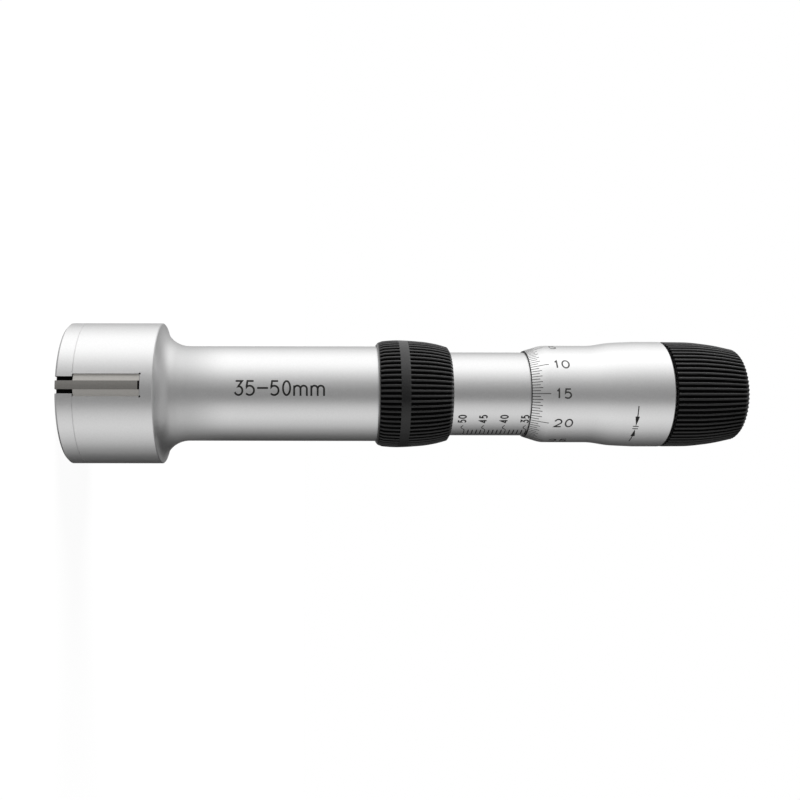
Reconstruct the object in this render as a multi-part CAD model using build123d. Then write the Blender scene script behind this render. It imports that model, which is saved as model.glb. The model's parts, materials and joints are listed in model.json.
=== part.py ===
from build123d import *
import math
import os

# Three-point inside micrometer, 35 to 50 mm, in millimetres.
# It stands on the front face of its head: the axis is Z, the origin is the centre of that face,
# and everything behind the head has a larger Z. The reading at rest is just below the range.

# Measuring range and drive
range_low = 35.0
range_high = 50.0
end_travel = 0.25
cone_slope = 0.5
first_anvil_angle = -90.0
anvil_count = 3

# Where the turned faces of the head begin, between two slots
turning_seam_angle = -15.0

# Clearances
running_gap = 0.04
seat_gap = 0.02
slide_gap = 0.05
open_gap = 0.3

# Steps in each turn of a coil spring
coil_steps = 12

# Measuring head
head_clearance = 0.17
head_length = 22.6
rim_chamfer = 0.2
shoulder_radius = 6.5
cap_thickness = 4.05
cap_chamfer = 0.5
seam_chamfer = 0.12
slot_length = 15.55
slot_relief = 0.25
slot_end_gap = 0.12
nose_recess_depth = 2.85
nose_recess_radius = 3.0
cap_slot_width = 4.0
cap_slot_depth = 4.5
cap_screw_circle = 13.6
cap_screw_radius = 1.0
cap_screw_length = 8.5
cap_screw_head = 2.0
cap_screw_recess = 0.1
screw_slot_width = 0.4
screw_slot_depth = 0.5
tube_length = 61.4
tube_wall = 1.38

# Anvils and their springs
anvil_width = 5.2
anvil_inner = 1.75
anvil_edge_drop = 0.62
anvil_rib_depth = 0.8
strip_width = 2.0
strip_depth = 1.2
strip_crown = 12.0
strip_inset = 0.15
strip_rear_inset = 0.35
lug_reach = 2.2
lug_inner = 4.4
lug_depth = 1.2
lug_height = 2.3
pocket_wall = 0.7
anvil_spring_wire = 0.3
anvil_spring_radius = 0.85
anvil_spring_turns = 5

# Cone, push rod and return spring
nose_radius = 1.3
cone_land_length = 10.0
rod_radius = 3.0
rod_seat_depth = 8.0
bush_spacing = 11.2
bush_length = 8.0
keyway_depth = 0.7
key_radius = 0.9
collar_radius = 5.4
collar_thickness = 2.0
return_spring_wire = 0.8
return_spring_radius = 4.4
return_spring_turns = 7
return_spring_closed = 10.7
rod_tail = 1.1
ball_radius = 1.6
cup_radius = 1.3
cup_floor_radius = 0.3

# Grip ring on the joint between tube and barrel
ring_lead = 9.0
ring_length = 17.95
ring_face_radius = 12.1
ring_taper = [(12.65, 0.45), (13.03, 1.45), (13.25, 5.0), (12.9, 11.15), (12.3, 14.85), (11.6, 17.35)]
ring_lip_radius = 10.6
ring_lip = 5.0
ring_band_front = 5.26
ring_band_width = 2.26
ring_rib_count = 65
rib_depth = 0.42
rib_groove_share = 0.55
first_rib_angle = 2.0

# Barrel, graduated sleeve and adjusting nut
spigot_length = 14.0
barrel_bore = 6.0
barrel_radius = 8.9
barrel_thread_length = 20.6
barrel_thread_radius = 8.0
spindle_radius = 4.0
slit_width = 0.6
slit_length = 12.0
sleeve_radius = 10.27
sleeve_cover = 5.15
key_hole_radius = 0.8
key_hole_reach = 3.4
index_angle = -11.0
nut_gap = 0.5
nut_radius = 9.9
nut_length = 7.2
nut_notch_width = 2.4
nut_notch_depth = 1.0
nut_notch_length = 2.0
barrel_tail = 0.4

# Thimble and spindle
advance_spare = 2.9
thimble_gap = 0.15
web_gap = 0.5
thimble_mouth_radius = 10.62
thimble_lip = 0.7
thimble_lip_radius = 10.87
thimble_bevel = 4.95
thimble_nose_radius = 11.94
thimble_waist = 15.25
thimble_slope_end = 21.35
thimble_slope_radius = 12.68
thimble_crest = 26.85
thimble_radius = 12.94
thimble_web = 4.2
thimble_rear_chamfer = 0.35
spindle_neck_radius = 3.6
spindle_neck_length = 9.4
spindle_chamfer = 0.4
taper_front_radius = 5.2
taper_rear_radius = 4.2
stub_radius = 3.0
stub_length = 6.2

# Ratchet stop and its knob
knob_gap = 0.45
knob_length = 17.65
knob_face_radius = 12.3
knob_taper = [(12.92, 0.12), (12.88, 5.3), (12.3, 11.4), (11.15, 17.05)]
knob_end_radius = 10.55
knob_bore = 8.95
knob_end_wall = 5.1
knob_rib_count = 63
ratchet_flange = 3.2
ratchet_tooth = 0.45
ratchet_tooth_count = 16
ratchet_tooth_root = 0.1
tooth_tip_share = 0.25
tooth_foot_share = 0.92
ratchet_inner = 5.2
ratchet_disc_thickness = 2.6
ratchet_key_width = 2.5
ratchet_key_depth = 0.9
ratchet_spring_wire = 0.7
ratchet_spring_radius = 6.6
ratchet_spring_turns = 3
ratchet_hub_radius = 4.6
ratchet_hub_drop = 0.4
screw_shank_radius = 2.2
screw_thread_radius = 1.5
screw_thread_length = 4.5
screw_head_radius = 3.8
screw_head_height = 1.7
screw_head_sink = 0.4

# Sizes that follow from the ones above
anvil_travel = (range_high - range_low) / 2 + end_travel
cone_travel = anvil_travel / cone_slope
contact_radius = (range_low - end_travel) / 2
head_radius = range_low / 2 - head_clearance
slot_rear = cap_thickness + slot_length
anvil_front = cap_thickness + 0.5 * open_gap
anvil_rear = slot_rear - slot_end_gap
countersink = cap_screw_recess + cap_screw_head - cap_screw_radius
nose_at_full = cap_thickness - nose_recess_depth + open_gap
nose_z = nose_at_full + cone_travel
cone_radius_at_anvil = nose_radius + (anvil_rear - nose_z) * cone_slope
bore_radius = cone_radius_at_anvil + anvil_travel + slide_gap
tube_radius = bore_radius + tube_wall
tube_end = head_length + tube_length

land_radius = bore_radius - running_gap
land_z = nose_z + (land_radius - nose_radius) / cone_slope
cone_rear = land_z + cone_land_length
rod_front = cone_rear - rod_seat_depth
bush_front = cone_rear + bush_spacing
bush_rear = bush_front + bush_length
key_z = bush_front + 0.5 * bush_length
collar_front = bush_rear + cone_travel + return_spring_closed
collar_rear = collar_front + collar_thickness
rod_rear = collar_rear + rod_tail
cup_depth = cup_radius - cup_floor_radius
ball_drop = math.sqrt(2) * (ball_radius + seat_gap) - cup_radius
ball_z = rod_rear + ball_drop
spindle_front = ball_z + ball_drop

ring_front = tube_end - ring_lead
ring_rear = ring_front + ring_length
ring_bore = tube_radius + seat_gap
flange_rear = ring_rear - ring_lip
spigot_front = tube_end - spigot_length
thimble_front = ring_rear + cone_travel + advance_spare
sleeve_rear = thimble_front + sleeve_cover
nut_front = sleeve_rear + nut_gap
nut_rear = nut_front + nut_length
barrel_rear = nut_rear + barrel_tail
thread_front = barrel_rear - barrel_thread_length
web_front = barrel_rear + cone_travel + web_gap
thimble_rear = web_front + thimble_web
thimble_bore = sleeve_radius + thimble_gap
spindle_thread_front = spindle_front + spindle_neck_length
stub_rear = thimble_rear + stub_length

knob_front = thimble_rear + knob_gap
knob_rear = knob_front + knob_length
knob_ceiling = knob_rear - knob_end_wall
ratchet_outer = knob_bore - open_gap
teeth_base = thimble_rear + ratchet_flange
disc_front = teeth_base + 2 * ratchet_tooth + slide_gap
disc_rear = disc_front + ratchet_disc_thickness
screw_head_rear = knob_rear - screw_head_sink
screw_head_front = screw_head_rear - screw_head_height


def lathe(*edges):
    """Turn a closed outline, drawn as (radius, height), about the Z axis."""
    outline = Curve() + list(edges)
    return revolve(Plane.XZ * make_face(outline), Axis.Z)


def turned(*points):
    """Turn a closed outline of straight lines about the Z axis."""
    return revolve(Plane.XZ * make_face(Polyline(*points, close=True)), Axis.Z)


def rod(radius, z_low, z_high, x=0.0, y=0.0):
    """A round bar along Z."""
    height = z_high - z_low
    return Pos(x, y, z_low + height / 2) * Cylinder(radius, height)


def block(x_span, y_span, z_span):
    """A block between two values on each axis."""
    sizes = [span[1] - span[0] for span in (x_span, y_span, z_span)]
    centre = [(span[0] + span[1]) / 2 for span in (x_span, y_span, z_span)]
    return Pos(*centre) * Box(*sizes)


def around(count, start=0.0):
    """Turns about Z that share a full circle evenly."""
    return [Rot(0, 0, start + 360.0 * i / count) for i in range(count)]


def coil(wire, radius, length, turns):
    """A compression spring along Z from zero, of square wire, in short straight steps."""
    steps = coil_steps * turns
    margin = 0.65 * wire
    rise = length - 2 * margin
    turn_angle = 2 * math.pi / coil_steps
    points = [
        (radius * math.cos(i * turn_angle), radius * math.sin(i * turn_angle), rise * i / steps)
        for i in range(steps + 1)
    ]
    path = Polyline(*points)
    section = Plane(path @ 0, x_dir=(0, 0, 1), z_dir=path.edges()[0] % 0) * Rectangle(wire, wire)
    return Pos(0, 0, margin) * sweep(section, path=path, transition=Transition.RIGHT)


def ribs(outline, count):
    """A solid with straight ribs all round, whose tops follow an outline of (radius, height) points."""
    pitch = 360.0 / count
    rib_half = pitch * (1 - rib_groove_share) / 2
    sections = []
    for radius, height in outline:
        floor = radius - rib_depth
        tooth = [(radius, -rib_half), (radius, rib_half), (floor, rib_half), (floor, pitch - rib_half)]
        starts = [first_rib_angle + pitch * i for i in range(count)]
        turns = [(reach, math.radians(start + angle)) for start in starts for reach, angle in tooth]
        corners = [(reach * math.cos(turn), reach * math.sin(turn)) for reach, turn in turns]
        sections.append(Pos(0, 0, height) * make_face(Polyline(*corners, close=True)))
    return loft(sections, ruled=True)


def radius_at(outline, height):
    """The radius of an outline of (radius, height) points at one height."""
    for (radius, low), (next_radius, high) in zip(outline, outline[1:]):
        if low <= height <= high:
            return radius + (next_radius - radius) * (height - low) / (high - low)
    return outline[-1][0]


anvil_turns = around(anvil_count, first_anvil_angle)
between_turns = around(anvil_count, first_anvil_angle + 180.0 / anvil_count)


def spring_pocket():
    """The space beside an anvil slot that holds the anvil's lug and its return spring."""
    half = anvil_width / 2
    side = half + lug_reach + open_gap
    outer = math.sqrt(head_radius**2 - side**2) - pocket_wall
    floor = anvil_front + lug_height + open_gap
    return outer, half, side, floor


def head_body():
    """The head with its three slots, turned in one piece with the extension tube."""
    fillet_centre_r = tube_radius + shoulder_radius
    rise = fillet_centre_r - (head_radius - rim_chamfer)
    fillet_centre_z = head_length + math.sqrt(shoulder_radius**2 - rise**2)
    start = math.degrees(math.atan2(head_length - fillet_centre_z, -rise))
    shoulder = CenterArc((fillet_centre_r, fillet_centre_z), shoulder_radius, start, -180 - start)
    profile = lathe(
        Polyline(
            (tube_radius, tube_end),
            (bore_radius, tube_end),
            (bore_radius, cap_thickness),
            (head_radius - seam_chamfer, cap_thickness),
            (head_radius, cap_thickness + seam_chamfer),
            (head_radius, head_length - rim_chamfer),
            (head_radius - rim_chamfer, head_length),
        ),
        shoulder,
        Line((tube_radius, fillet_centre_z), (tube_radius, tube_end)),
    )
    body = Rot(0, 0, turning_seam_angle) * profile
    outer, half, side, floor = spring_pocket()
    slot_half = half + running_gap
    cuts = []
    for turn in anvil_turns:
        cuts.append(turn * block((0, 2 * head_radius), (-slot_half, slot_half), (0, slot_rear)))
        cuts.append(turn * block((0, outer), (half, side), (0, floor)))
        for edge in (-slot_half, slot_half):
            relief = Pos(head_radius, edge, slot_rear) * Rot(0, 90, 0)
            cuts.append(turn * relief * Cylinder(slot_relief, 2 * (head_radius - bore_radius)))
    hole = rod(cap_screw_radius + seat_gap, 0, cap_screw_length + open_gap, cap_screw_circle)
    return body - cuts - [turn * hole for turn in between_turns]


def front_cap():
    """The disc that closes the slots, with a clearance slot for each anvil rib."""
    floor = cap_thickness - nose_recess_depth
    cap = turned(
        (0, 0),
        (head_radius - cap_chamfer, 0),
        (head_radius, cap_chamfer),
        (head_radius, cap_thickness - seam_chamfer),
        (head_radius - seam_chamfer, cap_thickness),
        (nose_recess_radius, cap_thickness),
        (nose_recess_radius, floor),
        (0, floor),
    )
    slot_floor = head_radius - cap_slot_depth
    half = cap_slot_width / 2
    slot = block((slot_floor, 2 * head_radius), (-half, half), (-1, 2 * cap_thickness))
    cuts = [turn * slot for turn in anvil_turns]
    sink = turned(
        (0, -1),
        (cap_screw_head + seat_gap, -1),
        (cap_screw_head + seat_gap, cap_screw_recess),
        (cap_screw_radius + seat_gap, countersink),
        (cap_screw_radius + seat_gap, 2 * cap_thickness),
        (0, 2 * cap_thickness),
    )
    cuts += [turn * Pos(cap_screw_circle, 0, 0) * sink for turn in between_turns]
    return cap - cuts


def cap_screws():
    """Three countersunk screws with straight slots."""
    screw = turned(
        (0, cap_screw_recess),
        (cap_screw_head, cap_screw_recess),
        (cap_screw_radius, countersink),
        (cap_screw_radius, cap_screw_length),
        (0, cap_screw_length),
    )
    half = screw_slot_width / 2
    slot_top = cap_screw_recess + screw_slot_depth
    screw -= block((-2 * cap_screw_head, 2 * cap_screw_head), (-half, half), (-1, slot_top))
    return Compound([turn * Pos(cap_screw_circle, 0, 0) * screw for turn in between_turns])


def anvil():
    """One sliding anvil, pointing along X: a roof-topped bar with a narrow rib through the cap."""
    half = anvil_width / 2
    contact_z = anvil_rear + (anvil_inner - slide_gap - cone_radius_at_anvil) / cone_slope
    side_view = Polyline(
        (anvil_inner, anvil_front),
        (2 * head_radius, anvil_front),
        (2 * head_radius, anvil_rear),
        (cone_radius_at_anvil + slide_gap, anvil_rear),
        (anvil_inner, contact_z),
        close=True,
    )
    crown = contact_radius - strip_inset
    edge = crown - anvil_edge_drop
    rib = strip_width / 2
    end_view = Polyline(
        (0, -half), (edge, -half), (crown, -rib), (crown, rib), (edge, half), (0, half), close=True
    )
    bar = extrude(Plane.XZ * make_face(side_view), half, both=True)
    bar &= extrude(make_face(end_view), anvil_rear + 1)
    strip_floor = contact_radius - strip_depth
    rib_floor = strip_floor - anvil_rib_depth
    bar += block((rib_floor, strip_floor), (-rib, rib), (strip_inset, anvil_front + 1))
    bar -= block((strip_floor, 2 * head_radius), (-rib - seat_gap, rib + seat_gap), (-1, slot_rear))
    lug_top = anvil_front + lug_height
    bar += block((lug_inner, lug_inner + lug_depth), (0, half + lug_reach), (anvil_front, lug_top))
    return bar


def anvil_strip():
    """The hard contact strip along the crown of an anvil."""
    rib = strip_width / 2
    floor = contact_radius - strip_depth + seat_gap
    rear = anvil_rear - strip_rear_inset
    crowned = Pos(contact_radius - strip_crown, 0, 0) * rod(strip_crown, strip_inset, rear)
    return crowned & block((floor, 2 * head_radius), (-rib, rib), (0, slot_rear))


def anvil_spring():
    """The spring that pushes an anvil's lug back towards the axis."""
    outer, half, side, floor = spring_pocket()
    start = lug_inner + lug_depth + seat_gap
    spring = coil(anvil_spring_wire, anvil_spring_radius, outer - start - seat_gap, anvil_spring_turns)
    return Pos(start, (half + side) / 2, (cap_thickness + floor) / 2) * Rot(0, 90, 0) * spring


def cone():
    """The measuring cone with the cylindrical land that guides it in the bore."""
    seat = rod_radius + seat_gap
    return turned(
        (0, nose_z),
        (nose_radius, nose_z),
        (land_radius, land_z),
        (land_radius, cone_rear - rim_chamfer),
        (land_radius - rim_chamfer, cone_rear),
        (seat, cone_rear),
        (seat, rod_front),
        (0, rod_front),
    )


def ball_cup(face, direction):
    """The square-angled seat for the thrust ball, sunk into a face up or down."""
    floor = face + direction * cup_depth
    return turned((0, floor), (cup_floor_radius, floor), (cup_radius, face), (0, face))


def push_rod():
    """The rod from the cone to the thrust ball, with a keyway for the guide key."""
    bar = rod(rod_radius, rod_front + seat_gap, rod_rear)
    bar -= ball_cup(rod_rear, -1)
    half = key_radius + slide_gap
    key_low = key_z - key_radius - open_gap
    key_high = key_z + key_radius + cone_travel + open_gap
    return bar - block((rod_radius - keyway_depth, 2 * rod_radius), (-half, half), (key_low, key_high))


def guide_bush():
    """The bush pressed into the tube that guides the push rod and holds its key."""
    bush = rod(bore_radius - seat_gap, bush_front, bush_rear)
    bush -= rod(rod_radius + running_gap, bush_front - 1, bush_rear + 1)
    hole = Pos(bore_radius / 2, 0, key_z) * Rot(0, 90, 0) * Cylinder(key_radius + seat_gap, bore_radius)
    return bush - hole


def guide_key():
    """The pin through the bush that stops the push rod from turning."""
    inner = rod_radius - keyway_depth + slide_gap
    outer = bore_radius - open_gap
    return Pos((inner + outer) / 2, 0, key_z) * Rot(0, 90, 0) * Cylinder(key_radius, outer - inner)


def spring_collar():
    """The collar on the push rod that the return spring pushes back."""
    ring = rod(collar_radius, collar_front, collar_rear)
    return ring - rod(rod_radius + seat_gap, collar_front - 1, collar_rear + 1)


def cone_spring():
    """The spring that keeps the push rod against the spindle."""
    length = collar_front - bush_rear - 2 * seat_gap
    spring = coil(return_spring_wire, return_spring_radius, length, return_spring_turns)
    return Pos(0, 0, bush_rear + seat_gap) * spring


def thrust_ball():
    """The ball between push rod and spindle."""
    return Pos(0, 0, ball_z) * Sphere(ball_radius)


def grip_ring():
    """The ribbed grip that covers the joint of tube and barrel."""
    outline = [(radius, ring_front + reach) for radius, reach in ring_taper]
    front_top, rear_top = outline[0], outline[-1]
    band_front = ring_front + ring_band_front
    band_rear = band_front + ring_band_width
    band_edges = [(radius_at(outline, height), height) for height in (band_front, band_rear)]
    front_ribs = [point for point in outline if point[1] < band_front] + band_edges[:1]
    rear_ribs = band_edges[1:] + [point for point in outline if point[1] > band_rear]
    body = turned((0, ring_front), (ring_face_radius, ring_front), front_top, (0, front_top[1]))
    body += ribs(front_ribs, ring_rib_count)
    body += turned((0, band_front), *band_edges, (0, band_rear))
    body += ribs(rear_ribs, ring_rib_count)
    body += turned((0, rear_top[1]), rear_top, (ring_lip_radius, ring_rear), (0, ring_rear))
    body -= rod(sleeve_radius + seat_gap, ring_front, ring_rear)
    return body - rod(ring_bore, ring_front, flange_rear)


def barrel():
    """The inner body: spigot in the tube, flange under the ring, and the screw thread at the rear."""
    bore = spindle_radius + running_gap
    body = turned(
        (barrel_bore, spigot_front),
        (bore_radius - seat_gap, spigot_front),
        (bore_radius - seat_gap, tube_end + seat_gap),
        (tube_radius, tube_end + seat_gap),
        (tube_radius, flange_rear - seat_gap),
        (barrel_radius, flange_rear - seat_gap),
        (barrel_radius, sleeve_rear),
        (barrel_thread_radius, sleeve_rear),
        (barrel_thread_radius, barrel_rear),
        (bore, barrel_rear),
        (bore, thread_front),
        (barrel_bore, thread_front),
    )
    half = slit_width / 2
    slit = block((0, 2 * barrel_radius), (-half, half), (barrel_rear - slit_length, barrel_rear + 1))
    return body - [turn * slit for turn in around(3)]


def graduated_sleeve():
    """The sleeve that carries the line scale, with the hole for its setting key at the back."""
    inner = barrel_radius + seat_gap
    sleeve = rod(sleeve_radius, flange_rear, sleeve_rear) - rod(inner, flange_rear - 1, sleeve_rear + 1)
    place = Rot(0, 0, index_angle + 180) * Pos(sleeve_radius, 0, ring_rear + key_hole_reach)
    return sleeve - place * Rot(0, 90, 0) * Cylinder(key_hole_radius, sleeve_radius)


def adjusting_nut():
    """The nut that closes the slit end of the barrel on the spindle thread."""
    nut = rod(nut_radius, nut_front, nut_rear)
    nut -= rod(barrel_thread_radius + seat_gap, nut_front - 1, nut_rear + 1)
    half = nut_notch_width / 2
    floor = nut_radius - nut_notch_depth
    notch = block((floor, 2 * nut_radius), (-half, half), (nut_rear - nut_notch_length, nut_rear + 1))
    return nut - [turn * notch for turn in around(4)]


def spindle():
    """The micrometer screw with the taper that carries the thimble."""
    bar = turned(
        (0, spindle_front),
        (spindle_neck_radius - rim_chamfer, spindle_front),
        (spindle_neck_radius, spindle_front + rim_chamfer),
        (spindle_neck_radius, spindle_thread_front),
        (spindle_radius, spindle_thread_front + spindle_chamfer),
        (spindle_radius, web_front),
        (taper_front_radius, web_front),
        (taper_rear_radius, thimble_rear),
        (stub_radius, thimble_rear),
        (stub_radius, stub_rear),
        (0, stub_rear),
    )
    bar -= ball_cup(spindle_front, 1)
    hole_front = stub_rear - screw_thread_length - open_gap
    return bar - rod(screw_thread_radius + seat_gap, hole_front, stub_rear + 1)


def thimble():
    """The thimble: bevelled graduated nose, slim waist and wider grip end."""
    return turned(
        (taper_rear_radius + seat_gap, thimble_rear),
        (taper_front_radius + seat_gap, web_front),
        (thimble_bore, web_front),
        (thimble_bore, thimble_front),
        (thimble_mouth_radius, thimble_front),
        (thimble_lip_radius, thimble_front + thimble_lip),
        (thimble_nose_radius, thimble_front + thimble_bevel),
        (thimble_nose_radius, thimble_front + thimble_waist),
        (thimble_slope_radius, thimble_front + thimble_slope_end),
        (thimble_radius, thimble_front + thimble_crest),
        (thimble_radius, thimble_rear - thimble_rear_chamfer),
        (thimble_radius - thimble_rear_chamfer, thimble_rear),
    )


def saw_teeth(z_face, direction):
    """A ring of ratchet teeth that stand on a face at a given height, up or down."""
    pitch = 2 * math.pi * ratchet_outer / ratchet_tooth_count
    tip = z_face + direction * ratchet_tooth
    root = z_face - direction * ratchet_tooth_root
    tip_end = -tooth_tip_share * pitch
    foot_end = -tooth_foot_share * pitch
    side_view = Polyline((0, root), (0, tip), (tip_end, tip), (foot_end, root), close=True)
    tooth = extrude(Plane.YZ * make_face(side_view), ratchet_outer)
    ring = rod(ratchet_outer, min(root, tip), max(root, tip)) - rod(ratchet_inner, root - 1, root + 1)
    return [turn * tooth & ring for turn in around(ratchet_tooth_count)]


def ratchet_base():
    """The nut that clamps the thimble on its taper and carries the driving teeth."""
    body = turned(
        (stub_radius + seat_gap, thimble_rear + seat_gap),
        (ratchet_outer, thimble_rear + seat_gap),
        (ratchet_outer, teeth_base),
        (ratchet_hub_radius, teeth_base),
        (ratchet_hub_radius, stub_rear - ratchet_hub_drop),
        (stub_radius + seat_gap, stub_rear - ratchet_hub_drop),
    )
    return body + saw_teeth(teeth_base, 1)


def ratchet_disc():
    """The toothed disc that turns with the knob and clicks over the driving teeth."""
    body = rod(ratchet_outer, disc_front, disc_rear) - rod(ratchet_inner, disc_front - 1, disc_rear + 1)
    half = ratchet_key_width / 2
    key_root = (ratchet_inner + ratchet_outer) / 2
    key = block((key_root, knob_bore + ratchet_key_depth), (-half, half), (disc_front, disc_rear))
    return body + saw_teeth(disc_front, -1) + [turn * key for turn in around(2)]


def ratchet_spring():
    """The spring that presses the toothed disc forward."""
    length = knob_ceiling - disc_rear - 2 * seat_gap
    spring = coil(ratchet_spring_wire, ratchet_spring_radius, length, ratchet_spring_turns)
    return Pos(0, 0, disc_rear + seat_gap) * spring


def ratchet_knob():
    """The ribbed knob at the end, hollow for the ratchet."""
    outline = [(radius, knob_front + reach) for radius, reach in knob_taper]
    front_top, rear_top = outline[0], outline[-1]
    body = turned((0, knob_front), (knob_face_radius, knob_front), front_top, (0, front_top[1]))
    body += ribs(outline, knob_rib_count)
    body += turned((0, rear_top[1]), rear_top, (knob_end_radius, knob_rear), (0, knob_rear))
    body -= rod(knob_bore, knob_front, knob_ceiling)
    body -= rod(screw_shank_radius + running_gap, knob_front, knob_rear)
    body -= rod(screw_head_radius + open_gap, screw_head_front - slide_gap, knob_rear)
    half = ratchet_key_width / 2 + slide_gap
    reach = knob_bore + ratchet_key_depth + slide_gap
    keyway = block((0, reach), (-half, half), (knob_front - 1, disc_rear + open_gap))
    return body - [turn * keyway for turn in around(2)]


def ratchet_screw():
    """The shoulder screw that holds the knob to the spindle."""
    half = screw_slot_width
    tip = stub_rear - screw_thread_length
    body = turned(
        (0, tip),
        (screw_thread_radius, tip),
        (screw_thread_radius, stub_rear + seat_gap),
        (screw_shank_radius, stub_rear + seat_gap),
        (screw_shank_radius, screw_head_front),
        (screw_head_radius, screw_head_front),
        (screw_head_radius, screw_head_rear - rim_chamfer),
        (screw_head_radius - rim_chamfer, screw_head_rear),
        (0, screw_head_rear),
    )
    slot_floor = screw_head_rear - 2 * screw_slot_depth
    reach = 2 * screw_head_radius
    return body - block((-reach, reach), (-half, half), (slot_floor, knob_rear))


pieces = {
    "head_body": head_body(),
    "front_cap": front_cap(),
    "cap_screws": cap_screws(),
    "cone": cone(),
    "push_rod": push_rod(),
    "guide_bush": guide_bush(),
    "guide_key": guide_key(),
    "spring_collar": spring_collar(),
    "cone_return_spring": cone_spring(),
    "thrust_ball": thrust_ball(),
    "grip_ring": grip_ring(),
    "barrel": barrel(),
    "graduated_sleeve": graduated_sleeve(),
    "adjusting_nut": adjusting_nut(),
    "spindle": spindle(),
    "thimble": thimble(),
    "ratchet_base": ratchet_base(),
    "ratchet_disc": ratchet_disc(),
    "ratchet_spring": ratchet_spring(),
    "ratchet_knob": ratchet_knob(),
    "ratchet_screw": ratchet_screw(),
}
for number, turn in enumerate(anvil_turns, start=1):
    pieces[f"anvil_{number}"] = turn * anvil()
    pieces[f"anvil_{number}_strip"] = turn * anvil_strip()
    pieces[f"anvil_{number}_spring"] = turn * anvil_spring()

os.makedirs("parts", exist_ok=True)
for name, piece in pieces.items():
    export_step(piece, f"parts/{name}.step")
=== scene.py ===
import json
import math

import bpy
import bmesh
from mathutils import Matrix, Vector


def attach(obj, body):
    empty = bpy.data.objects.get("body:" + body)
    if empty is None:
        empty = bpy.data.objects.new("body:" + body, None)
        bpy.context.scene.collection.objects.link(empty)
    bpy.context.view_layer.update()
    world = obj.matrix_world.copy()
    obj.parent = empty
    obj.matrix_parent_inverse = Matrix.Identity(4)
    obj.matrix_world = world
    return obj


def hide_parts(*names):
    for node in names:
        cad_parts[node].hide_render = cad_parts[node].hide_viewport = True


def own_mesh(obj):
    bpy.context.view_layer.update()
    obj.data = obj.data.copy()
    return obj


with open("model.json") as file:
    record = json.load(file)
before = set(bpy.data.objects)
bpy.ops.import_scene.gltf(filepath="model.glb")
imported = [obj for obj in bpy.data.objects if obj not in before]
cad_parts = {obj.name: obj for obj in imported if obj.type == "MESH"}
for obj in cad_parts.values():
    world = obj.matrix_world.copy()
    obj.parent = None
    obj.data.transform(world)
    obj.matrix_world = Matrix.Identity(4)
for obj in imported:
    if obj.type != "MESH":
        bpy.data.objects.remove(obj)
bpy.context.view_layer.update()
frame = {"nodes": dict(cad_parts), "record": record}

# Lengths are in millimetres and angles in degrees. Heights are measured along +Z from the head's front face,
# and angles round the axis from +X
MM = 0.001

# Camera: the photograph's perspective, fitted to the instrument's round edges. The foot is the point that
# the line of sight meets squarely
IMAGE_PX = 800
FOCAL_PX = 930.0
PX_PER_MM = 4.03
FOOT_X_PX = 317.0
FOOT_Y_PX = 398.0
AXIS_Y_PX = 393.7
FOOT_Z = 60.42
VIEW_TURN = 6.2
VIEW_ROLL = 0.1
SENSOR = 36.0
NEAREST = 10.0
# The angle round the axis that faces the camera
FACING = VIEW_TURN - 90.0

# The anvils' angles round the axis, and the slots for them in the front cap: the distance from the axis to
# their floors, in the solids and as the photograph shows it, and half their width
ANVIL_ANGLES = (-90.0, 30.0, 150.0)
CAP_SLOT_FLOOR = 12.83
CAP_SLOT_SEEN = 15.33
CAP_SLOT_HALF = 2.0

# The turned pieces. Profiles are (radius, reach) points, where reach is the distance from the piece's front.
# All sizes are those of the solids, apart from the depth and the ends of the ribs
TUBE_RADIUS = 11.72
SLEEVE_RADIUS = 10.27
SLEEVE_FIT = 0.02
RING_FRONT = 75.0
RING_REAR = 92.95
RING_BORE = 11.74
RING_LIP = 5.0
RING_FACE = 12.1
RING_PROFILE = [(12.65, 0.45), (13.03, 1.45), (13.25, 5.0), (12.9, 11.15), (12.3, 14.85), (11.6, 17.35)]
RING_END = 10.6
RING_END_SHARE = 0.3
RING_BAND = (5.26, 7.52)
RING_RIBS = 65
RING_BEVEL_SHARE = 0.62
KNOB_FRONT = 145.25
KNOB_LENGTH = 17.65
KNOB_FACE = 12.3
KNOB_PROFILE = [(12.92, 0.12), (12.88, 5.3), (12.3, 11.4), (11.15, 17.05)]
KNOB_END = 10.55
KNOB_END_SHARE = 0.45
KNOB_BORE = 8.95
KNOB_DEPTH = 12.55
KNOB_HOLE = 4.1
KNOB_RIBS = 63
THIMBLE_FRONT = 111.35
THIMBLE_REAR = 144.8
THIMBLE_BORE = 10.42
THIMBLE_PROFILE = [(10.62, 0.0), (10.87, 0.7), (11.94, 4.95), (11.94, 15.25), (12.68, 21.35), (12.94, 26.85)]
THIMBLE_CHAMFER = 0.35
THIMBLE_WEB = 4.2
TAPER_FRONT_RADIUS = 5.22
TAPER_REAR_RADIUS = 4.22

# One rib and its groove: (share of the pitch from the rib's middle, share of the depth)
RIB_SHAPE = [
    (-0.5, 1.0), (-0.28, 0.8), (-0.25, 0.38), (-0.21, 0.18), (-0.16, 0.08), (-0.09, 0.02),
    (0.0, 0.0), (0.09, 0.02), (0.16, 0.08), (0.21, 0.18), (0.25, 0.38), (0.28, 0.8),
]
RIB_DEPTH = 0.72
FIRST_RIB = 2.0
# A face gets the grooves' painted black shade where its rows and its columns both go deeper than these
# shares of the depth
GROOVE_ROWS = 0.9
GROOVE_COLUMNS = 0.3

# Meshes of the turned pieces
ROUND_COLUMNS = 360
RIBBED_STEP = 0.9
THIMBLE_STEP = 0.6
SOFT_CREASE = 28.0
RIBBED_CREASE = 40.0

# Marks are thin skins that stand out from the surface and sink a little into it
INK_LIFT = 0.012
INK_SINK = 0.03
INK_STEP = 0.35
MITRE_LIMIT = 0.45
SAME_POINT = 1e-6
EDGE_LIFT = 0.015
EDGE_SINK = 0.03
# The thimble's mouth carries a thin skin of painted shade: how far it reaches, where the ticks also start,
# and its gap to the bore
MOUTH_LINE = 0.12
MOUTH_GAP = 0.03
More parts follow.
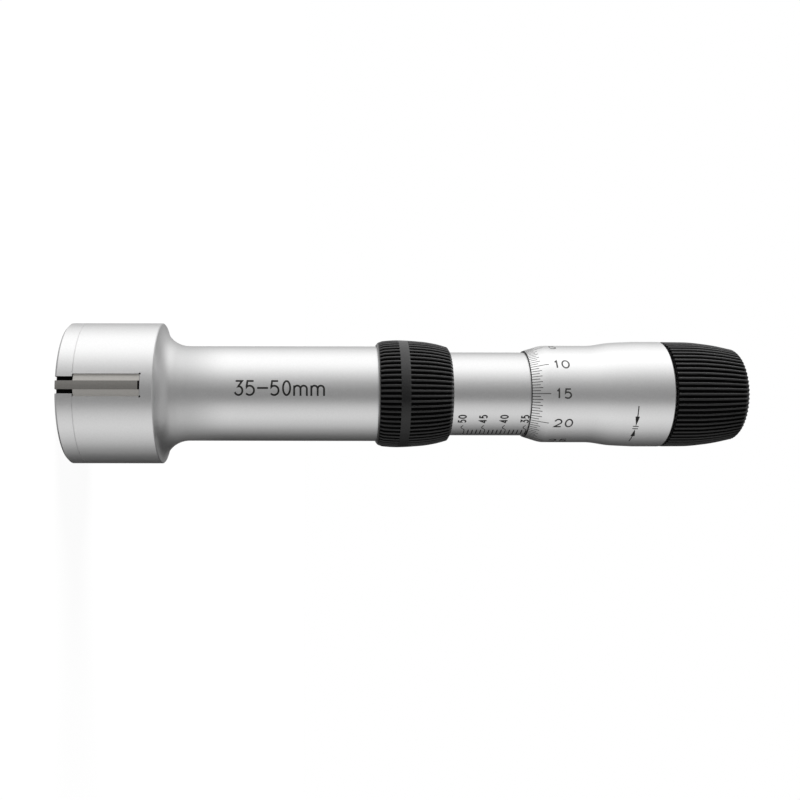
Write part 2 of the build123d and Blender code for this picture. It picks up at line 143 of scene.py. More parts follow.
# The scales: where the index line runs, the sleeve's range and its reading at rest, the thimble's units to a
# turn and the one that meets the index line at rest
INDEX_ANGLE = -11.8
RANGE_TOP = 50
RANGE_LOW = 35
REST_READING = 34.75
TURN_UNITS = 50
UNIT_AT_INDEX = 25.04

# Finishes: the grain lies between two levels of a noise, and cut walls get painted black shade
GRAIN_DETAIL = 3.0
GRAIN_DARK = 0.3
GRAIN_LIGHT = 0.7
RELIEF_DEPTH = 0.02
CUT_PAINTED_SHADE = 0.008
# Walls with painted black shade, each as (radius that they lie under, lowest, highest)
ANVIL_SHADED_WALLS = [(16.5, 3.0, 21.0)]
CAP_SHADED_WALLS = [(16.8, 0.05, 3.9), (17.2, 0.6, 3.9)]
HEAD_SHADED_WALLS = [(16.7, 4.2, 20.1)]
# Painted shade: the colour is darkened in the hollow behind the head's shoulder, where the shoulder shades
# the tube, and the roughness is raised there too. The photograph is darker in the hollow behind the head's
# shoulder.
# It starts at the first height, is full between the next two and ends at the last
HOLLOW = (24.5, 27.0, 28.5, 40.0)
HOLLOW_PAINTED_SHADE = 0.8
DULL_ROUGHNESS = 0.12

# The studio is a round tent of softly lit cloth. Each stop is (angle from the camera towards the photo's
# foot, brightness of the cloth)
TENT_CLOTH = [
    (-180, 0.3), (-150, 0.5), (-122, 0.9), (-100, 1.2), (-72, 1.2), (-50, 0.84), (-30, 0.48), (-8, 0.27),
    (12, 0.21), (32, 0.66), (55, 0.79), (80, 0.57), (104, 0.25), (128, 0.08), (155, 0.03), (180, 0.3),
]
TENT_PEAK = 1.3
TENT_SIDES = 96
TENT_RADIUS = 1500.0
TENT_REACH = 2200.0
# The cloth fades towards the tent's upper end, between two heights above the foot
FADE_FROM = 700.0
FADE_TO = 2000.0
FADE_LEAST = 0.5
# The upper end brightens from its front to its back
END_FRONT = -900.0
END_BACK = 900.0
END_AT_FRONT = 0.35
END_AT_BACK = 0.42
ROOM_LIGHT = 0.07
# The lamp's turn is measured from the angle that faces the camera
LAMP_STRENGTH = 3.8
LAMP_TURN = -87.0
LAMP_RISE = 34.0
LAMP_WIDTH = 30.0
# The camera sees the floor as shaded paint with a share of even white glow
FLOOR_HALF = 4000.0
FLOOR_PAINT = 0.9
FLOOR_ROUGHNESS = 0.9
FLOOR_GLOW = 0.9
FLOOR_WHITE = 1.06


def polar(angle, radius, z):
    """A point in metres at an angle round the axis."""
    turn = math.radians(angle)
    return Vector((radius * math.cos(turn), radius * math.sin(turn), z)) * MM


def outward(angle):
    """The direction away from the axis at an angle."""
    return polar(angle, 1.0, 0.0).normalized()


def degrees_per_mm(radius):
    """The turn that one millimetre round a surface takes."""
    return 180.0 / math.pi / radius


def interpolate(points, reach):
    """The radius of a profile at one reach, along straight tapers."""
    for (r0, z0), (r1, z1) in zip(points, points[1:]):
        if z0 <= reach <= z1:
            return r0 + (r1 - r0) * (reach - z0) / (z1 - z0)
    return points[0][0] if reach < points[0][1] else points[-1][0]


def slopes(points):
    """The slope of a smooth profile at each of its points, with no overshoot between them."""
    rises = [(r1 - r0) / (z1 - z0) for (r0, z0), (r1, z1) in zip(points, points[1:])]
    inner = [2 * a * b / (a + b) if a * b > 0 else 0.0 for a, b in zip(rises, rises[1:])]
    return [rises[0]] + inner + [rises[-1]]


def smooth(points, reach):
    """The radius of a profile at one reach, along a smooth curve through its points."""
    tangents = slopes(points)
    for i, ((r0, z0), (r1, z1)) in enumerate(zip(points, points[1:])):
        if z0 <= reach <= z1:
            span = z1 - z0
            t = (reach - z0) / span
            start, finish = tangents[i] * span, tangents[i + 1] * span
            bend = (1 - t) ** 2 * t * start - (1 - t) * t * t * finish
            return r0 + (r1 - r0) * t * t * (3 - 2 * t) + bend
    return points[0][0] if reach < points[0][1] else points[-1][0]


def link_object(name, data):
    """A new object in the scene."""
    new = bpy.data.objects.new(name, data)
    bpy.context.scene.collection.objects.link(new)
    return new


def new_object(name, mesh, body, material):
    """A visible piece that rides on a body."""
    piece = link_object(name, mesh)
    mesh.materials.append(material)
    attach(piece, body)
    return piece


def add_camera():
    """The photograph's camera, with its top towards -X and the knob on its right."""
    turn = math.radians(VIEW_TURN)
    towards = Vector((math.sin(turn), -math.cos(turn), 0))
    up = Vector((-math.cos(turn), -math.sin(turn), 0))
    right = Vector((0, 0, 1))
    roll = Matrix.Rotation(math.radians(VIEW_ROLL), 3, towards)
    up = roll @ up
    right = roll @ right
    data = bpy.data.cameras.new("camera")
    data.sensor_width = SENSOR
    data.lens = FOCAL_PX / IMAGE_PX * SENSOR
    data.shift_x = (IMAGE_PX / 2 - FOOT_X_PX) / IMAGE_PX
    data.shift_y = (FOOT_Y_PX - IMAGE_PX / 2) / IMAGE_PX
    data.clip_start = NEAREST * MM
    camera = link_object("camera", data)
    foot_drop = (FOOT_Y_PX - AXIS_Y_PX) / PX_PER_MM
    place = Vector((0, 0, FOOT_Z)) + towards * (FOCAL_PX / PX_PER_MM) - up * foot_drop
    axes = Matrix((right, up, towards)).transposed().to_4x4()
    camera.matrix_world = Matrix.Translation(place * MM) @ axes
    bpy.context.scene.camera = camera


def new_material(name):
    """A new material, with its nodes and links."""
    material = bpy.data.materials.new(name)
    material.use_nodes = True
    return material, material.node_tree.nodes, material.node_tree.links


def grey(level):
    """An opaque grey of one level."""
    return level, level, level, 1


def combine(nodes, links, operation, first, second):
    """A maths node on two inputs, each a socket or a plain number."""
    node = nodes.new("ShaderNodeMath")
    node.operation = operation
    for socket, value in zip(node.inputs, (first, second)):
        if isinstance(value, (int, float)):
            socket.default_value = value
        else:
            links.new(value, socket)
    return node.outputs[0]


def coordinates(nodes, links, place):
    """The X, Y and Z sockets of a place on the object."""
    parts = nodes.new("ShaderNodeSeparateXYZ")
    links.new(place.outputs["Object"], parts.inputs[0])
    return parts.outputs


def ramp_between(nodes, links, value, low, high, at_low, at_high):
    """A smooth step from one value to another, between two places along an axis."""
    step = nodes.new("ShaderNodeMapRange")
    step.interpolation_type = "SMOOTHSTEP"
    step.inputs["From Min"].default_value = low * MM
    step.inputs["From Max"].default_value = high * MM
    step.inputs["To Min"].default_value = at_low
    step.inputs["To Max"].default_value = at_high
    links.new(value, step.inputs["Value"])
    return step.outputs["Result"]


# The share of painted shade along the axis, for the hollow behind the head's shoulder
def dull_stretch(nodes, links, place, low, full_from, full_to, high):
    """A smooth hump along the axis: nought outside, and one between its inner two heights."""
    z = coordinates(nodes, links, place)["Z"]
    rise = ramp_between(nodes, links, z, low, full_from, 0.0, 1.0)
    fall = ramp_between(nodes, links, z, full_to, high, 1.0, 0.0)
    return combine(nodes, links, "MULTIPLY", rise, fall)


def cut_walls(nodes, links, place, radius, low, high):
    """One on walls that lie under a radius and between two heights, where black shade is painted, and nought
    elsewhere.
    """
    x, y, z = coordinates(nodes, links, place)
    squares = [combine(nodes, links, "MULTIPLY", side, side) for side in (x, y)]
    around = combine(nodes, links, "ADD", *squares)
    under = combine(nodes, links, "LESS_THAN", around, (radius * MM) ** 2)
    above = combine(nodes, links, "GREATER_THAN", z, low * MM)
    below = combine(nodes, links, "LESS_THAN", z, high * MM)
    return combine(nodes, links, "MULTIPLY", combine(nodes, links, "MULTIPLY", above, below), under)


def surface_material(
    name, colour, roughness, grain, bump,
    metallic=1.0, spread=0.05, shade=0.9, shine=0.5, shaded_cuts=(), hollow=None
):
    """A finish with fine grain in its colour, roughness and relief, painted black shade on cut walls, and
    painted shade with more roughness in a hollow.
    """
    material, nodes, links = new_material(name)
    shader = nodes["Principled BSDF"]
    shader.inputs["Metallic"].default_value = metallic
    shader.inputs["Specular IOR Level"].default_value = shine
    place = nodes.new("ShaderNodeTexCoord")
    noise = nodes.new("ShaderNodeTexNoise")
    noise.inputs["Scale"].default_value = grain
    noise.inputs["Detail"].default_value = GRAIN_DETAIL
    links.new(place.outputs["Object"], noise.inputs["Vector"])
    tint = nodes.new("ShaderNodeValToRGB")
    dark, light = tint.color_ramp.elements
    dark.position = GRAIN_DARK
    light.position = GRAIN_LIGHT
    dark.color = [shade * c for c in colour] + [1]
    light.color = list(colour) + [1]
    links.new(noise.outputs["Fac"], tint.inputs["Fac"])
    colour_out = tint.outputs["Color"]
    # Painted black shade on the cut walls
    for walls in shaded_cuts:
        mix = nodes.new("ShaderNodeMixRGB")
        mix.inputs["Color2"].default_value = grey(CUT_PAINTED_SHADE)
        links.new(cut_walls(nodes, links, place, *walls), mix.inputs["Fac"])
        links.new(colour_out, mix.inputs["Color1"])
        colour_out = mix.outputs[0]
    rough = nodes.new("ShaderNodeMapRange")
    rough.inputs["To Min"].default_value = roughness - spread
    rough.inputs["To Max"].default_value = roughness + spread
    links.new(noise.outputs["Fac"], rough.inputs["Value"])
    rough_out = rough.outputs["Result"]
    # Painted shade in the hollow: the colour is darkened there and the roughness is raised
    if hollow:
        shade_share = dull_stretch(nodes, links, place, *hollow)
        darker = nodes.new("ShaderNodeMixRGB")
        darker.blend_type = "MULTIPLY"
        darker.inputs["Color2"].default_value = grey(HOLLOW_PAINTED_SHADE)
        links.new(shade_share, darker.inputs["Fac"])
        links.new(colour_out, darker.inputs["Color1"])
        colour_out = darker.outputs[0]
        coarser = combine(nodes, links, "MULTIPLY", shade_share, DULL_ROUGHNESS)
        rough_out = combine(nodes, links, "ADD", rough_out, coarser)
    links.new(colour_out, shader.inputs["Base Color"])
    links.new(rough_out, shader.inputs["Roughness"])
    relief = nodes.new("ShaderNodeBump")
    relief.inputs["Strength"].default_value = bump
    relief.inputs["Distance"].default_value = RELIEF_DEPTH * MM
    links.new(noise.outputs["Fac"], relief.inputs["Height"])
    links.new(relief.outputs["Normal"], shader.inputs["Normal"])
    return material


# What the finishes share, and then each of them
CHROME = {"colour": (0.90, 0.90, 0.90), "roughness": 0.35, "grain": 2600.0, "bump": 0.25, "shade": 0.95}
STEEL = {"colour": (0.52, 0.505, 0.48), "roughness": 0.38, "grain": 1800.0, "bump": 0.3, "shade": 0.92}
BLACK = {"metallic": 0.0, "roughness": 0.21, "grain": 3000.0, "spread": 0.04, "bump": 0.3, "shade": 0.7}
PAINT = {"metallic": 0.0, "grain": 4000.0, "bump": 0.1}
FINISHES = {
    "satin_chrome": surface_material("satin_chrome", **CHROME),
    "steel": surface_material("steel", **STEEL),
    "hard_metal": surface_material("hard_metal", (0.46, 0.445, 0.42), 0.36, grain=2600.0, bump=0.2),
    "hard_steel": surface_material("hard_steel", (0.55, 0.54, 0.52), 0.25, grain=1800.0, bump=0.2),
    "spring_steel": surface_material("spring_steel", (0.45, 0.45, 0.46), 0.25, grain=1800.0, bump=0.1),
    "bronze": surface_material("bronze", (0.66, 0.50, 0.27), 0.3, grain=1800.0, bump=0.2),
    "black_grip": surface_material("black_grip", (0.05, 0.05, 0.051), **BLACK),
    "black_knob": surface_material("black_knob", (0.055, 0.055, 0.056), **BLACK),
}
ANVIL_FINISH = surface_material("steel_anvil", **STEEL, shaded_cuts=ANVIL_SHADED_WALLS)
# The cap, head and anvils get painted black shade on their cut walls, and the head gets painted shade in the
# hollow behind its shoulder
NODE_FINISHES = {
    "front_cap": surface_material("satin_chrome_cap", **CHROME, shaded_cuts=CAP_SHADED_WALLS),
    "head_body": surface_material("satin_chrome_head", **CHROME, shaded_cuts=HEAD_SHADED_WALLS, hollow=HOLLOW),
    "anvil_1": ANVIL_FINISH, "anvil_2": ANVIL_FINISH, "anvil_3": ANVIL_FINISH,
}
THIMBLE_FINISH = surface_material("satin_chrome_thimble", **CHROME | {"colour": (0.97, 0.97, 0.97)})
INK = surface_material("ink", (0.035, 0.034, 0.033), 0.4, shine=0.3, **PAINT)
GREY_INK = surface_material("grey_ink", (0.115, 0.113, 0.11), 0.35, **PAINT)
# Painted highlight: a lighter grey metal for the grip ring's front bevel
BEVEL_PAINTED_HIGHLIGHT = surface_material("bevel_painted_highlight", (0.44, 0.44, 0.44), 0.35, grain=2600.0, bump=0.1)
# Painted shade: a near-black colour for the deep grooves of the ribs and for the thimble's mouth
GROOVE_PAINTED_SHADE = surface_material(
    "groove_painted_shade", (0.004, 0.004, 0.004), shine=0.1, **BLACK | {"roughness": 0.5, "spread": 0.05}
)


def dress_cad_nodes():
    """The finish of each solid, by its node or else by its material slot."""
    for part in frame["record"]["subparts"]:
        node = frame["nodes"][part["node"]]
        node.data.materials.clear()
        node.data.materials.append(NODE_FINISHES.get(part["node"], FINISHES[part["material_slot"]]))


def finish_mesh(mesh, crease=SOFT_CREASE):
    """Turns all faces outward, and shades what is round as round."""
    work = bmesh.new()
    work.from_mesh(mesh)
    bmesh.ops.recalc_face_normals(work, faces=work.faces)
    work.to_mesh(mesh)
    work.free()
    mesh.shade_smooth()
    mesh.set_sharp_from_angle(angle=math.radians(crease))


def even_turn(count):
    """Column angles spread evenly round the axis, each with no groove."""
    return [(360.0 * i / count, 0.0) for i in range(count)]


def rib_turn(count):
    """Column angles for ribs round the axis, each with the share of the groove's depth there."""
    pitch = 360.0 / count
    return [(FIRST_RIB + pitch * (rib + share), drop) for rib in range(count) for share, drop in RIB_SHAPE]


def lathe_mesh(name, rows, turn, crease=SOFT_CREASE):
    """A closed turned skin: rows of (radius, z, groove share) joined end to end, at the angles of a turn."""
    mesh = bpy.data.meshes.new(name)
    count, columns = len(rows), len(turn)
    places = []
    for radius, z, share in rows:
        for angle, drop in turn:
            places.append(polar(angle, radius - RIB_DEPTH * share * drop, z))
    faces = []
    for i in range(count):
        below, above = i * columns, (i + 1) % count * columns
        for j in range(columns):
            k = (j + 1) % columns
            faces.append((below + j, below + k, above + k, above + j))
    mesh.from_pydata(places, [], faces)
    mesh.update()
    # Faces deep in a groove take the second material, the grooves' painted shade
    for face in mesh.polygons:
        row, column = divmod(face.index, columns)
        shares = rows[row][2], rows[(row + 1) % count][2]
        drops = turn[column][1], turn[(column + 1) % columns][1]
        face.material_index = int(min(shares) > GROOVE_ROWS and min(drops) > GROOVE_COLUMNS)
    finish_mesh(mesh, crease)
    return mesh


def profile_rows(points, front, step, share_at, breaks=()):
    """Rows along a smooth profile, with one at each of its points and at each named reach."""
    first, last = points[0][1], points[-1][1]
    stops = sorted({first, last, *[p[1] for p in points], *[b for b in breaks if first < b < last]})
    reaches = []
    for low, high in zip(stops, stops[1:]):
        parts = max(1, round((high - low) / step))
        reaches += [low + (high - low) * i / parts for i in range(parts)]
    reaches.append(last)
    return [(smooth(points, reach), front + reach, share_at(reach)) for reach in reaches]


def between(spans, run_outs):
    """A function that is one inside the spans of reach and nought outside, with a run-out at each end."""
    def share(reach):
        best = 0.0
        for (low, high), (at_low, at_high) in zip(spans, run_outs):
            best = max(best, min(1.0, (reach - low) / at_low, (high - reach) / at_high))
        return best

    return share


def add_front_cap():
    """The cap's own mesh, with the floors of its slots raised to where the photograph shows them."""
    mesh = frame["nodes"]["front_cap"].data.copy()
    mesh.materials.clear()
    slack = 0.01 * MM
    for vertex in mesh.vertices:
        for angle in ANVIL_ANGLES:
            out, across = outward(angle), outward(angle + 90.0)
            reach, side = vertex.co.dot(out), abs(vertex.co.dot(across))
            if abs(reach - CAP_SLOT_FLOOR * MM) < slack and side < CAP_SLOT_HALF * MM + slack:
                vertex.co += out * (CAP_SLOT_SEEN - CAP_SLOT_FLOOR) * MM
    cap = new_object("front_cap_slotted", mesh, "frame", NODE_FINISHES["front_cap"])
    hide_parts("front_cap")


def add_springs():
    """The coil springs' own meshes."""
    presses = {"cone_return_spring": ("cone_advance", Vector((0, 0, -1)))}
    for number, angle in enumerate(ANVIL_ANGLES, 1):
        presses[f"anvil_{number}_spring"] = (f"anvil_{number}_slide", outward(angle))
    for name, (joint, way) in presses.items():
        mesh = frame["nodes"][name].data.copy()
        mesh.materials.clear()
        spring = new_object(f"{name}_coil", mesh, "frame", FINISHES["spring_steel"])
        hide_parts(name)
        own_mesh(spring)


def add_grip_ring():
    """The ribbed ring, with a smooth band round it and a bore in two steps."""
    start, end = RING_PROFILE[0][1], RING_PROFILE[-1][1]
    front_out, band_out, rear_out = 0.15, 0.1, 0.3
    band_low, band_high = RING_BAND
    spans = [(start, band_low), (band_high, end + rear_out)]
    share_at = between(spans, [(front_out, band_out), (band_out, rear_out)])
    breaks = [start + front_out, end - rear_out]
    breaks += [band_low - band_out, band_low, band_high, band_high + band_out]
    lip_front = RING_REAR - RING_LIP
    rows = [(RING_FACE, RING_FRONT, 0.0)]
    rows += profile_rows(RING_PROFILE, RING_FRONT, RIBBED_STEP, share_at, breaks)
    rows += [
        (RING_END, RING_REAR, RING_END_SHARE),
        (SLEEVE_RADIUS + SLEEVE_FIT, RING_REAR, 0.0),
        (SLEEVE_RADIUS + SLEEVE_FIT, lip_front, 0.0),
        (RING_BORE, lip_front, 0.0),
        (RING_BORE, RING_FRONT, 0.0),
    ]
    mesh = lathe_mesh("grip_ring_ribbed", rows, rib_turn(RING_RIBS), RIBBED_CREASE)
    ring = new_object("grip_ring_ribbed", mesh, "frame", FINISHES["black_grip"])
    # The second slot holds the grooves' painted shade
    mesh.materials.append(GROOVE_PAINTED_SHADE)
    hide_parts("grip_ring")


def add_knob():
    """The ribbed knob, hollow from its front, with a hole for the screw in its end."""
    rear, depth = KNOB_FRONT + KNOB_LENGTH, KNOB_FRONT + KNOB_DEPTH
    rows = [(KNOB_FACE, KNOB_FRONT, 0.0)]
    rows += profile_rows(KNOB_PROFILE, KNOB_FRONT, RIBBED_STEP, lambda reach: 1.0)
    rows += [
        (KNOB_END, rear, KNOB_END_SHARE),
        (KNOB_HOLE, rear, 0.0),
        (KNOB_HOLE, depth, 0.0),
        (KNOB_BORE, depth, 0.0),
        (KNOB_BORE, KNOB_FRONT, 0.0),
    ]
    mesh = lathe_mesh("ratchet_knob_ribbed", rows, rib_turn(KNOB_RIBS), RIBBED_CREASE)
    knob = new_object("ratchet_knob_ribbed", mesh, "knob_body", FINISHES["black_knob"])
    # The second slot holds the grooves' painted shade
    mesh.materials.append(GROOVE_PAINTED_SHADE)
    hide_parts("ratchet_knob")


def add_thimble():
    """The thimble, with its scale's bevel in front and a web with a taper hole at its rear."""
    rows = [(THIMBLE_PROFILE[0][0], THIMBLE_FRONT, 0.0)]
    rows += profile_rows(THIMBLE_PROFILE[1:], THIMBLE_FRONT, THIMBLE_STEP, lambda reach: 0.0)
    outer = THIMBLE_PROFILE[-1][0]
    web = THIMBLE_REAR - THIMBLE_WEB
    rows += [
        (outer, THIMBLE_REAR - THIMBLE_CHAMFER, 0.0),
        (outer - THIMBLE_CHAMFER, THIMBLE_REAR, 0.0),
        (TAPER_REAR_RADIUS, THIMBLE_REAR, 0.0),
        (TAPER_FRONT_RADIUS, web, 0.0),
        (THIMBLE_BORE, web, 0.0),
        (THIMBLE_BORE, THIMBLE_FRONT, 0.0),
    ]
    mesh = lathe_mesh("thimble_turned", rows, even_turn(ROUND_COLUMNS))
    thimble = new_object("thimble_turned", mesh, "thimble_body", THIMBLE_FINISH)
    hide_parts("thimble")


def add_edge(name, points, body, material):
    """A thin skin over a turned edge, drawn as (radius, z) points from front to rear."""
    normals = []
    for (r0, z0), (r1, z1) in zip(points, points[1:]):
        length = math.hypot(r1 - r0, z1 - z0)
        normals.append(((z1 - z0) / length, (r0 - r1) / length))
    normals = [normals[0]] + normals + [normals[-1]]
    outer, inner = [], []
    for (radius, z), before, after in zip(points, normals, normals[1:]):
        out_r, out_z = (before[0] + after[0]) / 2, (before[1] + after[1]) / 2
        outer.append((radius + EDGE_LIFT * out_r, z + EDGE_LIFT * out_z, 0.0))
        inner.append((radius - EDGE_SINK * out_r, z - EDGE_SINK * out_z, 0.0))
    mesh = lathe_mesh(name, outer + inner[::-1], even_turn(ROUND_COLUMNS))
    new_object(name, mesh, body, material)


def add_turned_edges():
    """A lighter metal skin on the grip ring's turned bevel as a painted highlight, and painted shade on the
    thimble's mouth.
    """
    # A painted highlight: a lighter metal skin over part of the ring's front bevel
    bevel_radius, bevel_reach = RING_PROFILE[0]
    highlight_end = RING_FACE + RING_BEVEL_SHARE * (bevel_radius - RING_FACE)
    bevel = [(RING_FACE, RING_FRONT), (highlight_end, RING_FRONT + RING_BEVEL_SHARE * bevel_reach)]
    add_edge("ring_front_bevel", bevel, "frame", BEVEL_PAINTED_HIGHLIGHT)
    # Painted shade on the thimble's mouth, where the gap to the sleeve lies in shadow
    mouth = [
        (THIMBLE_BORE + MOUTH_GAP, THIMBLE_FRONT),
        (THIMBLE_PROFILE[0][0], THIMBLE_FRONT),
        (interpolate(THIMBLE_PROFILE, MOUTH_LINE), THIMBLE_FRONT + MOUTH_LINE),
    ]
    add_edge("thimble_mouth_painted_shade", mouth, "thimble_body", GROOVE_PAINTED_SHADE)


def ellipse(cx, cy, rx, ry, start, end, steps=14):
    """Points along part of an ellipse, in glyph units, from one angle to another."""
    turns = [math.radians(start + (end - start) * i / steps) for i in range(steps + 1)]
    return [(cx + rx * math.cos(t), cy + ry * math.sin(t)) for t in turns]


# Each glyph is a list of pen strokes in a box one unit high and one unit wide
GLYPHS = {
    "0": [ellipse(0.5, 0.5, 0.5, 0.5, 90, 450, 28)],
    "1": [[(0.08, 0.76), (0.62, 1.0), (0.62, 0.0)]],
    "2": [ellipse(0.5, 0.68, 0.48, 0.32, 170, -35) + [(0.0, 0.0), (1.0, 0.0)]],
    "3": [[(0.14, 1.0), (0.92, 1.0), (0.45, 0.6)] + ellipse(0.5, 0.31, 0.48, 0.31, 84, -160)],
    "4": [[(0.72, 0.0), (0.72, 1.0), (0.0, 0.27), (1.0, 0.27)]],
    "5": [[(0.9, 1.0), (0.22, 1.0), (0.12, 0.54)] + ellipse(0.46, 0.33, 0.5, 0.33, 125, -140)],
    "-": [[(0.0, 0.5), (1.0, 0.5)]],
    "m": [
        [(0.0, -0.06), (0.0, 0.68)],
        [(0.0, 0.48)] + ellipse(0.25, 0.44, 0.25, 0.23, 170, 0) + [(0.5, -0.06)],
        [(0.5, 0.48)] + ellipse(0.75, 0.44, 0.25, 0.23, 170, 0) + [(1.0, -0.06)],
    ],
}


def resample(points, step):
    """The same line with extra points, so that it can bend round the surface."""
    dense = [points[0]]
    for (x0, y0), (x1, y1) in zip(points, points[1:]):
        parts = max(1, math.ceil(math.hypot(x1 - x0, y1 - y0) / step))
        dense += [(x0 + (x1 - x0) * i / parts, y0 + (y1 - y0) * i / parts) for i in range(1, parts + 1)]
    return dense


def stroke_edges(points, width):
    """The left and right edges of a pen line of one width, with mitred corners."""
    closed = math.dist(points[0], points[-1]) < SAME_POINT
    if closed:
        points = points[:-1]
    count = len(points)
    left, right = [], []
    for i, (x, y) in enumerate(points):
        before = points[i - 1] if i or closed else points[i]
        after = points[(i + 1) % count] if i < count - 1 or closed else points[i]
        into = Vector((x - before[0], y - before[1]))
        out = Vector((after[0] - x, after[1] - y))
        if into.length == 0:
            into = out
        if out.length == 0:
            out = into
        into.normalize()
        out.normalize()
        middle = into + out
        normal = Vector((-middle.y, middle.x)).normalized()
        reach = width / 2 / max(MITRE_LIMIT, normal.dot(Vector((-into.y, into.x))))
        left.append((x + normal.x * reach, y + normal.y * reach))
        right.append((x - normal.x * reach, y - normal.y * reach))
    return left, right, closed


def add_marks(name, lines, body, radius_of, ink=INK):
    """Thin raised ink lines: each is (points, width), with points as (z, angle) on a turned surface."""
    vertices, faces = [], []
    for points, width in lines:
        radius = radius_of(points[0][0])
        flat = [(z, math.radians(angle) * radius) for z, angle in points]
        left, right, closed = stroke_edges(resample(flat, INK_STEP), width)
        base = len(vertices)
        for sides in zip(left, right):
            for (z, arc), lift in zip((*sides, *sides[::-1]), (INK_LIFT, INK_LIFT, -INK_SINK, -INK_SINK)):
                vertices.append(polar(math.degrees(arc / radius), radius_of(z) + lift, z))
        count = len(left)
        for i in range(count if closed else count - 1):
            here, there = base + 4 * i, base + 4 * ((i + 1) % count)
            for j in range(4):
                k = (j + 1) % 4
                faces.append((here + j, here + k, there + k, there + j))
        if not closed:
            end = base + 4 * (count - 1)
            faces.append((base + 3, base + 2, base + 1, base))
            faces.append((end, end + 1, end + 2, end + 3))
    mesh = bpy.data.meshes.new(name)
    mesh.from_pydata(vertices, [], faces)
    finish_mesh(mesh)
    new_object(name, mesh, body, ink)


def spaced(text, wide, gap, narrow):
    """The glyphs of a text in an even row, each as (letter, where it starts, its width)."""
    row = []
    along = 0.0
    for letter in text:
        width = wide * narrow.get(letter, 1.0)
        row.append((letter, along, width))
        along += width + gap
    return row


def row_length(row):
    """Where the last glyph of a row ends."""
    return sum(row[-1][1:])


def write(row, height, pen, place):
    """The pen lines of a row of glyphs. place maps (along, up) in millimetres to (z, angle) on a surface."""
    lines = []
    for letter, along, width in row:
        for stroke in GLYPHS[letter]:
            lines.append(([place(along + u * width, v * height) for u, v in stroke], pen))
    return lines


def add_range_mark():
    """The plain measuring range on the tube, read along the axis, in line with the first anvil."""
    start, height, pen = 41.2, 3.34, 0.44
    turn = degrees_per_mm(TUBE_RADIUS)
    row = [
        ("3", -0.24, 1.92), ("5", 2.34, 2.13), ("-", 5.11, 2.56), ("5", 8.17, 2.08), ("0", 11.21, 1.68),
        ("m", 13.83, 3.0), ("m", 17.88, 3.0),
    ]

    def place(along, up):
        return start + along, ANVIL_ANGLES[0] + (height / 2 - up) * turn

    add_marks("range_mark", write(row, height, pen, place), "frame", lambda z: TUBE_RADIUS)


def add_sleeve_scale():
    """A line for each millimetre from the index line, with leaders to the numbers at every fifth."""
    low_z = THIMBLE_FRONT - (RANGE_LOW - REST_READING)
    index_start, index_past, index_pen = 93.4, 2.0, 0.16
    tick, tick_pen, leader_pen = 14.0, 0.27, 0.2
    # A leader's points: (distance towards the head, angle from the index line)
    leader = [(0.0, 0.0), (0.0, 12.5), (0.15, 15.5), (0.8, 18.0), (0.95, 20.5), (0.5, 24.5)]
    number_height, number_wide, number_pen, number_gap = 1.72, 0.82, 0.34, 0.52
    number_angle, number_shift = -47.6, -0.03
    turn = degrees_per_mm(SLEEVE_RADIUS)
    lines = [([(index_start, INDEX_ANGLE), (low_z + index_past, INDEX_ANGLE)], index_pen)]
    for value in range(RANGE_LOW - 1, RANGE_TOP + 1):
        z = low_z + RANGE_LOW - value
        if value % 5:
            lines.append(([(z, INDEX_ANGLE), (z, INDEX_ANGLE - tick)], tick_pen))
            continue
        lines.append(([(z - back, INDEX_ANGLE - angle) for back, angle in leader], leader_pen))
        row = spaced(str(value), number_wide, number_gap, {})
        length = row_length(row)

        def place(along, up, z=z, length=length):
            return z + number_shift - up, number_angle - (along - length / 2) * turn

        lines += write(row, number_height, number_pen, place)
    add_marks("sleeve_scale", lines, "frame", lambda z: SLEEVE_RADIUS)


def thimble_radius(z):
    """The outer radius of the thimble at one height."""
    reach = z - THIMBLE_FRONT
    if reach < THIMBLE_PROFILE[1][1]:
        return interpolate(THIMBLE_PROFILE, reach)
    return smooth(THIMBLE_PROFILE[1:], reach)


def add_thimble_scale():
    """Fifty units to a turn, halves between them, and a number at every fifth."""
    tick_pen = 0.16
    reaches = {"half": 1.9, "unit": 2.45, "five": 4.2}
    number_start, number_height, number_wide, number_pen, number_gap = 5.6, 2.15, 1.62, 0.36, 0.95
    narrow = {"1": 0.5}
    unit_angle = 360.0 / TURN_UNITS
    turn = degrees_per_mm(THIMBLE_PROFILE[3][0])
    ticks, numbers = [], []
    for half in range(2 * TURN_UNITS):
        value = half / 2
        angle = INDEX_ANGLE + (value - UNIT_AT_INDEX) * unit_angle
        kind = "half" if half % 2 else "unit" if value % 5 else "five"
        tick = [(THIMBLE_FRONT + MOUTH_LINE, angle), (THIMBLE_FRONT + reaches[kind], angle)]
        ticks.append((tick, tick_pen))
        if kind == "five":
            row = spaced(str(int(value)), number_wide, number_gap, narrow)

            def place(along, up, angle=angle):
                return THIMBLE_FRONT + number_start + along, angle + (number_height / 2 - up) * turn

            numbers += write(row, number_height, number_pen, place)
    add_marks("thimble_ticks", ticks, "thimble_body", thimble_radius, GREY_INK)
    add_marks("thimble_numbers", numbers, "thimble_body", thimble_radius, GREY_INK)


